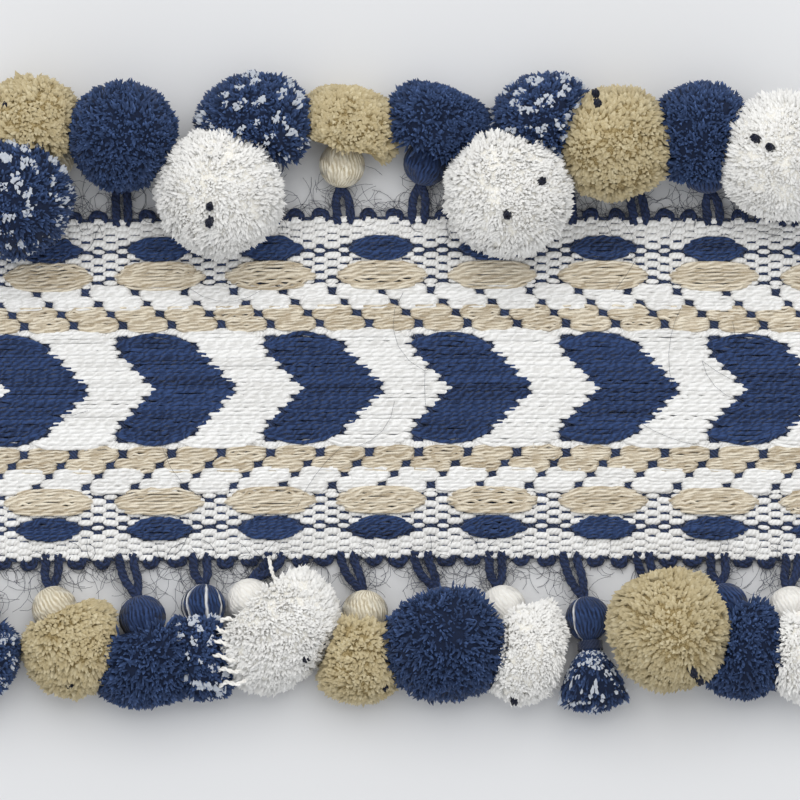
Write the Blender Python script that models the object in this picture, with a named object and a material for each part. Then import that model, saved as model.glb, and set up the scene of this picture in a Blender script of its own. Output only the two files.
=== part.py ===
"""Pompom fringe trim: a woven tape with tassel pompoms hanging from loops along both long edges.

The trim lies face up on the plane z = 0. X runs along the tape, Y across it, Z up.
The origin is the middle of the tape's underside. Lengths in the tables are in millimetres.
"""

import math
from collections import namedtuple

import bmesh
import bpy
import numpy as np

MM = 0.001
CLEAR = 0.3

# Tape
WEFT = 13.3 / 6
WEFTS = 72
TAPE_LENGTH = WEFT * WEFTS
TAPE_HALF_WIDTH = 30.8
TAPE_GROUND = 1.2
BOW = 0.4
BOW_LENGTH = 230.0
# Woven figures, measured from the tape's middle line
CHEVRON_PERIOD = 12 * WEFT
CHEVRON_HALF_HEIGHT = 9.5
CHEVRON_TIP = -3.6
CHEVRON_SLANT = 7.4
CHEVRON_RISE = 0.55
CHECK_ZONE = (9.5, 17.6)
CHECK_RISE = 0.35
LEAF_PERIOD = 9 * WEFT
LEAF_CENTRE = -2.3
Leaf = namedtuple("Leaf", "y half_length half_height rise")
LEAVES = (Leaf(20.2, 8.2, 2.7, 0.6), Leaf(25.0, 6.4, 2.3, 0.5))

# Selvedge strips, picots and hanging loops
STRIP_WIDTH = 0.6
STRIP_LOW, STRIP_HIGH = 0.15, 1.35
PICOT_PITCH = 2 * WEFT
PICOT_DEPTH = 0.95
PICOT_WIDTH = 3.3
PICOT_TIP = (0.55, 0.75)
LOOP_EVERY = 3
LEG_WIDTH = 1.5
LEG_SLIT = 0.7
LEG_STEPS = 3
LEG_TAPER = 0.55
LEG_SPREAD = 0.35
LEG_ARCH = 0.25
LEG_END_LOWEST = 0.9
LEG_END_SLIT = 0.4
Row = namedtuple("Row", "name side loop_offset")
ROWS = (Row("upper", 1, 3.3), Row("lower", -1, 4.0))

# Tassels
HEAD_RADIUS = 4.1
NECK_RADIUS = 1.7
NECK_LENGTH = 2.4
SEGMENTS = 10
HEAD_RINGS = (35, 75, 115)
SKIRT_RINGS = (1.0, 0.85, 0.66, 0.45, 0.23)
SKIRT_ROOT = (3.1, 0.1)
DOME_POWER = 2.4
DRAWN_IN = 60
MIDDLE_SHARE = 0.35
CORE_SHARE = 0.92
TUFT_RELIEF = 0.03
LOCKS_EACH = 10
LOCK_TIP = 0.22
LOCK_SHARE = 1.04
BINDING_WIDTH = 1.5
BINDING_THICKNESS = 0.6
BINDING_SEGMENTS = 8

# head_x and head_y place the ball head's centre, and the ball lies on the floor. azimuth and elevation
# are the degrees in which the skirt points away from the head. radius is the skirt's reach sideways from
# its root, length its reach along the axis, and spread the widest angle between a strand and the axis.
# push says how much of the room between two touching skirts a skirt takes. lies_on_tape is for a skirt
# that has fallen over the tape's edge.
Tassel = namedtuple("Tassel", "yarn head_x head_y azimuth elevation radius length spread push lies_on_tape")
UPPER = (
    Tassel("mixed", -70.2, 37.1, -79, 65, 11.3, 10.5, 112, 1.30, True),
    Tassel("beige", -62.6, 41.2, 124, 25, 9.8, 10.5, 112, 0.95, False),
    Tassel("navy", -50.2, 41.4, 82, 60, 10.0, 10.3, 112, 1.10, False),
    Tassel("cream", -33.1, 37.8, -72, 68, 11.8, 11.0, 112, 1.30, True),
    Tassel("mixed", -24.4, 40.9, 107, 30, 10.9, 10.1, 108, 0.90, False),
    Tassel("beige", -10.4, 40.0, 77, 3, 9.8, 8.2, 104, 0.95, False),
    Tassel("navy", 4.7, 40.3, 66, 4, 11.4, 8.0, 104, 1.05, False),
    Tassel("cream", 18.9, 37.6, -75, 68, 11.7, 11.0, 112, 1.30, True),
    Tassel("mixed", 28.4, 41.2, 115, 30, 10.6, 9.9, 108, 0.92, False),
    Tassel("beige", 40.7, 40.0, 117, 55, 10.5, 10.4, 112, 1.25, False),
    Tassel("navy", 55.1, 38.9, 99, 32, 9.9, 10.6, 112, 0.92, False),
    Tassel("cream", 69.1, 37.8, 97, 60, 11.8, 11.0, 112, 1.25, False),
)
LOWER = (
    Tassel("mixed", -76.0, -40.5, -98, 15, 9.0, 10.5, 108, 0.90, False),
    Tassel("beige", -62.1, -39.8, -62, 15, 9.5, 10.6, 112, 0.92, False),
    Tassel("navy", -46.3, -41.4, -81, 3, 11.4, 10.0, 104, 1.45, False),
    Tassel("mixed", -35.3, -39.4, -92, 10, 8.4, 11.0, 108, 0.72, False),
    Tassel("cream", -27.0, -38.4, -48, 12, 12.4, 10.6, 104, 1.25, False),
    Tassel("beige", -6.3, -40.5, -100, 8, 9.2, 10.3, 108, 0.96, False),
    Tassel("navy", 7.7, -39.8, -80, 29, 12.4, 10.3, 112, 1.20, False),
    Tassel("cream", 18.5, -39.6, -66, 12, 9.4, 11.8, 108, 0.88, False),
    Tassel("mixed", 33.8, -41.6, -86, 8, 10.0, 11.0, 46, 0.95, False),
    Tassel("beige", 47.5, -40.5, -73, 65, 11.4, 10.6, 112, 1.30, False),
    Tassel("navy", 58.5, -39.2, -64, 10, 10.0, 11.4, 108, 1.12, False),
    Tassel("cream", 70.2, -39.8, -66, 15, 9.6, 11.5, 108, 0.95, False),
)

YARN_COLOURS = {
    "navy": (0.022, 0.048, 0.145),
    "cream": (0.80, 0.76, 0.68),
    "beige": (0.54, 0.44, 0.28),
    "mixed": (0.09, 0.12, 0.23),
    "tape": (0.62, 0.60, 0.56),
    "thread": (0.50, 0.37, 0.28),
}

Solid = namedtuple("Solid", "name row column tassel head axis fan centre across")
HalfSpace = namedtuple("HalfSpace", "normal limit")


def unit(vector):
    return vector / np.linalg.norm(vector)


def material(name, colour):
    """A plain fabric material of that colour."""
    made = bpy.data.materials.new(name)
    made.use_nodes = True
    shader = made.node_tree.nodes["Principled BSDF"]
    shader.inputs["Base Color"].default_value = (*colour, 1)
    shader.inputs["Roughness"].default_value = 0.9
    shader.inputs["Metallic"].default_value = 0
    return made


def place(bm, name, finish, smooth_angle):
    """Turns a mesh worked out in millimetres into a named object in metres."""
    bmesh.ops.scale(bm, vec=(MM, MM, MM), verts=bm.verts)
    bmesh.ops.recalc_face_normals(bm, faces=bm.faces)
    mesh = bpy.data.meshes.new(name)
    bm.to_mesh(mesh)
    bm.free()
    mesh.materials.append(finish)
    mesh.shade_smooth()
    mesh.set_sharp_from_angle(angle=math.radians(smooth_angle))
    made = bpy.data.objects.new(name, mesh)
    bpy.context.scene.collection.objects.link(made)
    return made


def bow(x):
    """How far the tape's middle line wanders sideways at x."""
    return BOW * math.cos(2 * math.pi * (x - 10) / BOW_LENGTH) - BOW


def chevron_rise(x, y):
    """Height of the crescent floats: an arch from each colour change to the next along the tape."""
    edge = CHEVRON_TIP - CHEVRON_SLANT * (abs(y) / CHEVRON_HALF_HEIGHT) ** 1.6
    along = ((x - edge) / (CHEVRON_PERIOD / 2)) % 1.0
    return CHEVRON_RISE * math.sqrt(math.sin(math.pi * along))


def leaf_rise(x, y):
    """Height of the leaf shaped floats, which are domes in both directions."""
    rise = 0.0
    for leaf in LEAVES:
        along = (x - LEAF_CENTRE + LEAF_PERIOD / 2) % LEAF_PERIOD - LEAF_PERIOD / 2
        dome = 1 - (along / leaf.half_length) ** 2 - ((abs(y) - leaf.y) / leaf.half_height) ** 2
        rise = max(rise, leaf.rise * math.sqrt(max(dome, 0)))
    return rise


def tape_top(x, y):
    """Height of the tape's face at x along it and y from its middle line."""
    if abs(y) < CHEVRON_HALF_HEIGHT:
        return TAPE_GROUND + chevron_rise(x, y)
    if CHECK_ZONE[0] < abs(y) < CHECK_ZONE[1]:
        return TAPE_GROUND + CHECK_RISE
    return TAPE_GROUND + leaf_rise(x, y)


def tape(finish):
    """A sheet with a flat underside and the woven figures raised on its face."""
    half = (0, 3.1, 6.2, 9.3, 9.9, 17.3, 18.4, LEAVES[0].y, 22.6, LEAVES[1].y, 27.2, TAPE_HALF_WIDTH)
    across = [-y for y in half[:0:-1]] + list(half)
    along = [WEFT * i - TAPE_LENGTH / 2 for i in range(WEFTS + 1)]
    bm = bmesh.new()
    top = [[bm.verts.new((x, y + bow(x), tape_top(x, y))) for y in across] for x in along]
    low = {}
    last_x, last_y = len(along) - 1, len(across) - 1
    rim = [(i, 0) for i in range(last_x)] + [(last_x, j) for j in range(last_y)]
    rim += [(i, last_y) for i in range(last_x, 0, -1)] + [(0, j) for j in range(last_y, 0, -1)]
    for i, j in rim:
        low[i, j] = bm.verts.new((along[i], across[j] + bow(along[i]), 0))
    for i in range(last_x):
        for j in range(last_y):
            bm.faces.new((top[i][j], top[i + 1][j], top[i + 1][j + 1], top[i][j + 1]))
    for here, there in zip(rim, rim[1:] + rim[:1]):
        bm.faces.new((low[here], low[there], top[there[0]][there[1]], top[here[0]][here[1]]))
    for i in range(last_x):
        inner = [low[0, j] for j in range(last_y - 1, 0, -1)] if i == 0 else []
        outer = [low[last_x, j] for j in range(1, last_y)] if i == last_x - 1 else []
        bm.faces.new([low[i, 0], low[i + 1, 0]] + outer + [low[i + 1, last_y], low[i, last_y]] + inner)
    return place(bm, "tape", finish, 40)


def root_point(row, column):
    """Where a hanging loop leaves the selvedge strip."""
    x = column * LOOP_EVERY * PICOT_PITCH - TAPE_LENGTH / 2 + row.loop_offset
    reach = TAPE_HALF_WIDTH + CLEAR + STRIP_WIDTH
    return np.array([x, row.side * reach + bow(x), (STRIP_LOW + STRIP_HIGH) / 2])


def loop_end(solid):
    """Where a hanging loop meets its ball head: on the side that faces both the tape and away from the skirt."""
    to_root = unit(root_point(solid.row, solid.column) - solid.head)
    end = solid.head + (HEAD_RADIUS + CLEAR) * unit(2 * to_root - solid.axis)
    end[2] = max(end[2], LEG_END_LOWEST)
    return end


def strip_faces(row):
    """What stands on a selvedge strip, as (start, end, kind, column, which leg), in order along it."""
    spans = []
    for column in range(WEFTS // (2 * LOOP_EVERY)):
        centre = root_point(row, column)[0]
        for leg in (-1, 1):
            middle = centre + leg * (LEG_WIDTH + LEG_SLIT) / 2
            spans.append((middle - LEG_WIDTH / 2, middle + LEG_WIDTH / 2, "leg", column, leg))
        for picot in range(1, LOOP_EVERY):
            middle = centre + picot * PICOT_PITCH
            if middle + PICOT_WIDTH / 2 < TAPE_LENGTH / 2 - 0.2:
                spans.append((middle - PICOT_WIDTH / 2, middle + PICOT_WIDTH / 2, "picot", column, 0))
    return sorted(spans)


def draw_leg(bm, face, row, solid, leg):
    """Extrudes one leg of a hanging loop from its strip face to the ball head, in a shallow arc."""
    root = np.array(face.calc_center_median())
    end = loop_end(solid)
    sideways = unit(np.cross(end - root, (0, 0, 1)))
    sideways = sideways * math.copysign(1, sideways[0]) * leg
    end = end + sideways * (LEG_WIDTH * LEG_TAPER + LEG_END_SLIT) / 2
    corners = [np.array(v.co) - root for v in face.verts]
    for step in range(1, LEG_STEPS + 1):
        share = step / LEG_STEPS
        centre = root + (end - root) * share + sideways * LEG_SPREAD * math.sin(math.pi * share)
        centre[2] += LEG_ARCH * math.sin(math.pi * share)
        moved = bmesh.ops.extrude_discrete_faces(bm, faces=[face])["faces"][0]
        size = 1 - (1 - LEG_TAPER) * share
        for vertex, corner in zip(moved.verts, corners):
            vertex.co = centre + corner * (size, 1, size)
        face = moved


def selvedge(row, solids, finish):
    """One narrow strip with its picots and the legs of its hanging loops."""
    inner = TAPE_HALF_WIDTH + CLEAR
    outer = inner + STRIP_WIDTH
    spans = strip_faces(row)
    stations = [-TAPE_LENGTH / 2]
    for start, end, *_ in spans:
        stations += [start, end]
    stations.append(TAPE_LENGTH / 2)
    bm = bmesh.new()
    corners = ((inner, STRIP_LOW), (outer, STRIP_LOW), (outer, STRIP_HIGH), (inner, STRIP_HIGH))
    rings = [[bm.verts.new((x, row.side * y + bow(x), z)) for y, z in corners] for x in stations]
    bm.faces.new(rings[0])
    bm.faces.new(rings[-1][::-1])
    outward = []
    for near, far in zip(rings, rings[1:]):
        sides = [bm.faces.new((near[k], far[k], far[(k + 1) % 4], near[(k + 1) % 4])) for k in range(4)]
        outward.append(sides[1])
    for index, (_, _, kind, column, leg) in enumerate(spans):
        face = outward[2 * index + 1]
        if kind == "leg":
            draw_leg(bm, face, row, solids[column], leg)
            continue
        moved = bmesh.ops.extrude_discrete_faces(bm, faces=[face])["faces"][0]
        middle = moved.calc_center_median()
        for vertex in moved.verts:
            vertex.co.x = middle.x + PICOT_TIP[0] * (vertex.co.x - middle.x)
            vertex.co.z = middle.z + PICOT_TIP[1] * (vertex.co.z - middle.z)
            vertex.co.y += row.side * PICOT_DEPTH
    return place(bm, f"selvedge_{row.name}", finish, 40)


def lay_out(row, tassels):
    """Works out where each tassel's head, neck and skirt lie."""
    laid = []
    for column, tassel in enumerate(tassels):
        azimuth, elevation = math.radians(tassel.azimuth), math.radians(tassel.elevation)
        axis = np.array([math.cos(azimuth), math.sin(azimuth), 0]) * math.cos(elevation)
        axis[2] = math.sin(elevation)
        head = np.array([tassel.head_x, tassel.head_y, HEAD_RADIUS])
        to_neck = math.sqrt(HEAD_RADIUS**2 - NECK_RADIUS**2)
        fan = head + axis * (to_neck + NECK_LENGTH)
        centre = fan + axis * MIDDLE_SHARE * tassel.length
        side = unit(np.cross((0, 0, 1), axis))
        across = (side, np.cross(axis, side))
        name = f"tassel_{row.name}_{column + 1:02d}"
        laid.append(Solid(name, row, column, tassel, head, axis, fan, centre, across))
    return laid


def wall(origin, target, radius):
    """The half space that keeps what grows from origin clear of a ball at target."""
    away = target - origin
    distance = np.linalg.norm(away)
    normal = away / distance
    return HalfSpace(normal, normal @ origin + distance - radius)


def nearest_on(start, end, point):
    """The point of a straight stretch that lies nearest to a point."""
    span = end - start
    share = np.clip((point - start) @ span / (span @ span), 0, 1)
    return start + span * share


def room_for(solid, solids):
    """The half spaces that a skirt must stay in: floor, tape, and every neighbour it could press on."""
    origin = solid.fan
    limits = [HalfSpace(np.array([0, 0, -1.0]), 0.0)]
    figures_top = TAPE_GROUND + max(CHEVRON_RISE, LEAVES[0].rise)
    if solid.tassel.lies_on_tape:
        limits.append(HalfSpace(np.array([0, 0, -1.0]), -(figures_top + CLEAR)))
    else:
        edge = TAPE_HALF_WIDTH + CLEAR + STRIP_WIDTH + PICOT_DEPTH
        limits.append(wall(origin, np.array([origin[0], solid.row.side * edge, STRIP_HIGH]), 2 * CLEAR))
    for other in solids:
        loop = nearest_on(root_point(other.row, other.column), loop_end(other), origin)
        limits.append(wall(origin, loop, LEG_WIDTH + CLEAR))
        if other.name == solid.name:
            continue
        limits.append(wall(origin, other.head, HEAD_RADIUS + CLEAR))
        neck = other.head + other.axis * (HEAD_RADIUS + NECK_LENGTH / 2)
        limits.append(wall(origin, neck, NECK_RADIUS + BINDING_THICKNESS + 2 * CLEAR))
        between = other.centre - solid.centre
        mine = solid.tassel.radius * solid.tassel.push
        theirs = other.tassel.radius * other.tassel.push
        room = np.linalg.norm(between) * mine / (mine + theirs) - CLEAR / 2
        normal = unit(between)
        limits.append(HalfSpace(normal, normal @ solid.centre + room))
    return limits


def reach(solid, angle):
    """The skirt's free reach from its root at an angle from its axis: a superellipse, drawn in behind."""
    tassel = solid.tassel
    ahead = max(math.cos(angle), 0) / tassel.length
    aside = math.sin(angle) / tassel.radius
    free = (ahead**DOME_POWER + aside**DOME_POWER) ** (-1 / DOME_POWER)
    behind = max(math.degrees(angle) - 90, 0)
    return free * (1 - (behind / DRAWN_IN) ** 2)


def clipped(origin, direction, wanted, limits):
    """How far a strand can go from origin before it meets one of the half spaces."""
    for limit in limits:
        approach = limit.normal @ direction
        if approach > 1e-6:
            wanted = min(wanted, (limit.limit - limit.normal @ origin) / approach)
    return wanted


def head_rings(solid):
    """The ball head, from its crown to the start of the neck, as a crown point and rings."""
    neck_angle = math.pi - math.asin(NECK_RADIUS / HEAD_RADIUS)
    angles = [math.radians(a) for a in HEAD_RINGS] + [neck_angle]
    crown = solid.head - solid.axis * HEAD_RADIUS
    rings = []
    for angle in angles:
        centre = solid.head - solid.axis * HEAD_RADIUS * math.cos(angle)
        rings.append(ring(solid, centre, HEAD_RADIUS * math.sin(angle)))
    return crown, rings


def ring(solid, centre, radius):
    """Points round the tassel's axis."""
    turns = [2 * math.pi * k / SEGMENTS for k in range(SEGMENTS)]
    side, rise = solid.across
    return [centre + radius * (math.cos(t) * side + math.sin(t) * rise) for t in turns]


def skirt_rings(solid, limits):
    """The brushed out skirt, from its rim to its pole. Returns rings of (point, is it free) and the pole."""
    side, rise = solid.across
    rings = []
    for index, share in enumerate(SKIRT_RINGS):
        angle = math.radians(solid.tassel.spread) * share
        made = []
        for k in range(SEGMENTS):
            turn = 2 * math.pi * k / SEGMENTS
            direction = math.cos(angle) * solid.axis
            direction = direction + math.sin(angle) * (math.cos(turn) * side + math.sin(turn) * rise)
            tuft = 1 + TUFT_RELIEF * (1 if (index + k) % 2 else -1)
            wanted = CORE_SHARE * tuft * reach(solid, angle)
            length = clipped(solid.fan, direction, wanted, limits)
            made.append((solid.fan + direction * length, length == wanted))
        rings.append(made)
    pole = solid.fan + solid.axis * clipped(solid.fan, solid.axis, CORE_SHARE * reach(solid, 0), limits)
    return rings, pole


def join_rings(bm, near, far):
    """Quads between two rings of vertices, as a list in turning order."""
    count = len(near)
    order = [(k, (k + 1) % count) for k in range(count)]
    return [bm.faces.new((near[a], near[b], far[b], far[a])) for a, b in order]


def raise_locks(bm, solid, faces, limits):
    """Draws the chosen faces out into tapering four sided locks that reach the skirt's full size."""
    step = max(1, len(faces) // LOCKS_EACH)
    for face in faces[::step][:LOCKS_EACH]:
        moved = bmesh.ops.extrude_discrete_faces(bm, faces=[face])["faces"][0]
        middle = np.array(moved.calc_center_median())
        direction = unit(middle - solid.fan)
        angle = math.acos(np.clip(direction @ solid.axis, -1, 1))
        tip = solid.fan + direction * clipped(solid.fan, direction, LOCK_SHARE * reach(solid, angle), limits)
        for vertex in moved.verts:
            wanted = tip + LOCK_TIP * (np.array(vertex.co) - middle) - solid.fan
            length = np.linalg.norm(wanted)
            vertex.co = solid.fan + wanted * clipped(solid.fan, wanted / length, length, limits) / length


def tassel(solid, solids, finish):
    """Head, neck and skirt as one closed skin of rings, with its locks raised from the skirt."""
    limits = room_for(solid, solids)
    crown, head = head_rings(solid)
    skirt, pole = skirt_rings(solid, limits)
    rings = head + [ring(solid, solid.fan, NECK_RADIUS)]
    rings.append(ring(solid, solid.fan + solid.axis * SKIRT_ROOT[1], SKIRT_ROOT[0]))
    rings += [[point for point, _ in made] for made in skirt]
    bm = bmesh.new()
    made = [[bm.verts.new(point) for point in points] for points in rings]
    first, last = bm.verts.new(crown), bm.verts.new(pole)
    bands = [join_rings(bm, near, far) for near, far in zip(made, made[1:])]
    for k in range(SEGMENTS):
        bm.faces.new((made[0][(k + 1) % SEGMENTS], made[0][k], first))
        bm.faces.new((made[-1][k], made[-1][(k + 1) % SEGMENTS], last))
    open_faces = []
    for index, band in enumerate(bands[len(rings) - len(skirt) :]):
        for k, face in enumerate(band):
            corners = [skirt[index + i][(k + j) % SEGMENTS] for i in (0, 1) for j in (0, 1)]
            if (index + k) % 2 == 0 and all(free for _, free in corners):
                open_faces.append(face)
    raise_locks(bm, solid, open_faces, limits)
    return place(bm, solid.name, finish, 30)


def binding(solid, finish):
    """The thread wound round a tassel's neck, as a ring a little clear of it."""
    inner = NECK_RADIUS + CLEAR
    outer = inner + BINDING_THICKNESS
    middle = solid.fan - solid.axis * (NECK_LENGTH / 2)
    side, rise = solid.across
    profile = ((inner, -0.5), (outer, -0.3), (outer, 0.3), (inner, 0.5))
    bm = bmesh.new()
    rings = []
    for k in range(BINDING_SEGMENTS):
        turn = 2 * math.pi * k / BINDING_SEGMENTS
        outward = math.cos(turn) * side + math.sin(turn) * rise
        points = [middle + radius * outward + along * BINDING_WIDTH * solid.axis for radius, along in profile]
        rings.append([bm.verts.new(point) for point in points])
    for near, far in zip(rings, rings[1:] + rings[:1]):
        join_rings(bm, near, far)
    return place(bm, solid.name.replace("tassel", "binding"), finish, 30)


def build():
    for old in list(bpy.data.objects):
        bpy.data.objects.remove(old)
    finishes = {name: material(f"{name}_yarn", colour) for name, colour in YARN_COLOURS.items()}
    tape(finishes["tape"])
    upper, lower = (lay_out(row, tassels) for row, tassels in zip(ROWS, (UPPER, LOWER)))
    for row, solids in zip(ROWS, (upper, lower)):
        selvedge(row, solids, finishes["navy"])
        for solid in solids:
            tassel(solid, solids, finishes[solid.tassel.yarn])
            binding(solid, finishes["thread"])


build()
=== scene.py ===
"""Pompom fringe trim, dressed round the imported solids: every yarn of the woven tape, its picots and hanging
loops, and the pile of its tassel pompoms.

Lengths are in millimetres until a mesh is written.
"""

import math
from collections import namedtuple

import bpy
import numpy as np
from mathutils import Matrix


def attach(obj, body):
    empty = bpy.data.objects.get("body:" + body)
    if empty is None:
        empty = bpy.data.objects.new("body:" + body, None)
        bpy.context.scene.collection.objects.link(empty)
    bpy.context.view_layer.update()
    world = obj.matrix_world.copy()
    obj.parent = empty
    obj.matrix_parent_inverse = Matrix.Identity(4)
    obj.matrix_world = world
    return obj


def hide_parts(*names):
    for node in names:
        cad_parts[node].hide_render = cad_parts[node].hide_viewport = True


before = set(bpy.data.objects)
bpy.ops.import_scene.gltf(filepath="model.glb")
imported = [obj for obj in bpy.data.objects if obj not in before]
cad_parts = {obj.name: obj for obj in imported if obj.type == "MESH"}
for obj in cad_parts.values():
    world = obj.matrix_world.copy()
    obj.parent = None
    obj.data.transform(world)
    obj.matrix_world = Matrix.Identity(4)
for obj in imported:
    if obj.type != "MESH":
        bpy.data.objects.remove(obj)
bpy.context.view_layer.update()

MM = 0.001
CLEAR = 0.3
GOLDEN_TURN = math.pi * (3 - math.sqrt(5))
chance = np.random.default_rng(11)

# Tape
WEFT = 13.3 / 6
WEFTS = 72
TAPE_LENGTH = WEFT * WEFTS
TAPE_HALF_WIDTH = 30.8
TAPE_GROUND = 1.2
BOW = 0.4
BOW_LENGTH = 230.0
CLOTH_THICKNESS = 0.75
WEFT_HALF = (0.92, 0.3)
WEFT_HEIGHT = 0.88

# Selvedges and hanging loops
STRIP_REACH = 31.7
STRIP_HEIGHT = 0.75
PICOT_PITCH = 2 * WEFT
LOOP_EVERY = 3
PICOT_DEPTH = 0.95
STRIP_TOP = 1.35
LEG_WIDTH = 1.5
LEG_SPREAD = 1.15
LEG_END_LOWEST = 0.9
Row = namedtuple("Row", "name side loop_offset")
ROWS = (Row("upper", 1, 3.3), Row("lower", -1, 4.0))

# Tassels
HEAD_RADIUS = 4.1
NECK_RADIUS = 1.7
NECK_LENGTH = 2.4
BINDING_THICKNESS = 0.6
BINDING_WIDTH = 1.5
THREAD_HALF = 0.17
DOME_POWER = 2.4
DRAWN_IN = 60
NARROW_SPREAD = 60
BELL_LENGTH = 10.8
BELL_ANGLE = math.radians(38)
MIDDLE_SHARE = 0.35
FIGURES_RISE = 0.6

# head_x and head_y place the ball head's centre, and the ball lies on the floor. azimuth and elevation
# are the degrees in which the skirt points away from the head. radius is the skirt's reach sideways from
# its root, length its reach along the axis, and spread the widest angle between a strand and the axis.
# push says how much of the room between two touching skirts a skirt takes. lies_on_tape is for a skirt
# that has fallen over the tape's edge.
Tassel = namedtuple(
    "Tassel", "yarn head_x head_y azimuth elevation radius length spread push lies_on_tape", defaults=(False,)
)
UPPER = (
    Tassel("mixed", -70.2, 37.1, -79, 65, 11.3, 10.5, 112, 1.30, True),
    Tassel("beige", -62.6, 41.2, 124, 25, 9.8, 10.5, 112, 0.95),
    Tassel("navy", -50.2, 41.4, 82, 60, 10.0, 10.3, 112, 1.10),
    Tassel("cream", -33.1, 37.8, -72, 68, 11.8, 11.0, 112, 1.30, True),
    Tassel("mixed", -24.4, 40.9, 107, 30, 10.9, 10.1, 108, 0.90),
    Tassel("beige", -10.4, 40.0, 77, 3, 9.8, 8.2, 104, 0.95),
    Tassel("navy", 4.7, 40.3, 66, 4, 11.4, 8.0, 104, 1.05),
    Tassel("cream", 18.9, 37.6, -75, 68, 11.7, 11.0, 112, 1.30, True),
    Tassel("mixed", 28.4, 41.2, 115, 30, 10.6, 9.9, 108, 0.92),
    Tassel("beige", 40.7, 40.0, 117, 55, 10.5, 10.4, 112, 1.25),
    Tassel("navy", 55.1, 38.9, 99, 32, 9.9, 10.6, 112, 0.92),
    Tassel("cream", 69.1, 37.8, 97, 60, 11.8, 11.0, 112, 1.25),
)
LOWER = (
    Tassel("mixed", -76.0, -40.5, -98, 15, 9.0, 10.5, 108, 0.90),
    Tassel("beige", -62.1, -39.8, -62, 15, 9.5, 10.6, 112, 0.92),
    Tassel("navy", -46.3, -41.4, -81, 3, 11.4, 10.0, 104, 1.45),
    Tassel("mixed", -35.3, -39.4, -92, 10, 8.4, 11.0, 108, 0.72),
    Tassel("cream", -27.0, -38.4, -48, 12, 12.4, 10.6, 104, 1.25),
    Tassel("beige", -6.3, -40.5, -100, 8, 9.2, 10.3, 108, 0.96),
    Tassel("navy", 7.7, -39.8, -80, 29, 12.4, 10.3, 112, 1.20),
    Tassel("cream", 18.5, -39.6, -66, 12, 9.4, 11.8, 108, 0.88),
    Tassel("mixed", 33.8, -41.6, -86, 8, 10.0, 11.0, 46, 0.95),
    Tassel("beige", 47.5, -40.5, -73, 65, 11.4, 10.6, 112, 1.30),
    Tassel("navy", 58.5, -39.2, -64, 10, 10.0, 11.4, 108, 1.12),
    Tassel("cream", 70.2, -39.8, -66, 15, 9.6, 11.5, 108, 0.95),
)

# Where a tassel lies: fan is the root of its skirt, centre the skirt's middle, and across two directions
# square to its axis. A half space holds the points whose measure along normal is at most limit.
Solid = namedtuple("Solid", "number row tassel head axis fan centre across")
HalfSpace = namedtuple("HalfSpace", "normal limit")

# Where a cut end of the dark hanging yarn peeps out of a pale skirt, as (tassel, x, y) seen from above
UPPER_YARN_ENDS = (
    (2, -71.3, 51.4),
    (4, -33.8, 32.3),
    (4, -33.8, 29.4),
    (8, 25.4, 37.2),
    (8, 19.1, 31.1),
    (10, 34.9, 53.0),
    (10, 35.3, 51.4),
    (12, 63.4, 44.9),
    (12, 66.1, 42.9),
)
LOWER_YARN_ENDS = (
    (2, -59.4, -54.1),
    (5, -13.0, -46.0),
    (5, -15.8, -49.8),
    (6, -2.0, -55.0),
    (8, 20.7, -57.5),
    (10, 52.6, -51.0),
    (10, 53.8, -52.8),
)


# Surfaces

# faces holds arrays of point numbers, corner_uv belongs to their corners, and yarn numbers each point's yarn
Skin = namedtuple("Skin", "points faces corner_uv yarn")


def unit(vectors):
    """Vectors scaled to length one, along the last axis."""
    return vectors / np.linalg.norm(vectors, axis=-1, keepdims=True)


def square_to(along, reference=(0.0, 0.0, 1.0)):
    """Two unit directions square to along: side, which is square to the reference too, and rise."""
    side = unit(np.cross(np.broadcast_to(reference, along.shape), along))
    return side, np.cross(along, side)


def circle(turn, side, rise):
    """The directions cos(turn) side + sin(turn) rise."""
    return np.cos(turn)[..., None] * side + np.sin(turn)[..., None] * rise


def sleeve_faces(sleeves, rings, sides, turned=False):
    """Quads round each sleeve and a cap at both its ends, from points in rings. turned flips every face."""
    index = np.arange(sleeves * rings * sides).reshape(sleeves, rings, sides)
    ahead = np.roll(index, -1, axis=2)
    quads = np.stack([index[:, :-1], ahead[:, :-1], ahead[:, 1:], index[:, 1:]], axis=-1).reshape(-1, 4)
    caps = np.concatenate([index[:, 0, ::-1], index[:, -1]])
    return (quads[:, [0, 3, 2, 1]], caps[:, ::-1]) if turned else (quads, caps)


def sleeve_uv(u, v, step):
    """The UV map at the corners of a sleeve's quads: u belongs to a ring, and v grows by step round it."""
    u, v = np.broadcast_arrays(u, v)
    corner_u = np.stack([u[:, :-1], u[:, :-1], u[:, 1:], u[:, 1:]], axis=-1)
    corner_v = np.stack([v[:, :-1], v[:, :-1] + step, v[:, 1:] + step, v[:, 1:]], axis=-1)
    return np.stack([corner_u.reshape(-1), corner_v.reshape(-1)], axis=-1)


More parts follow.
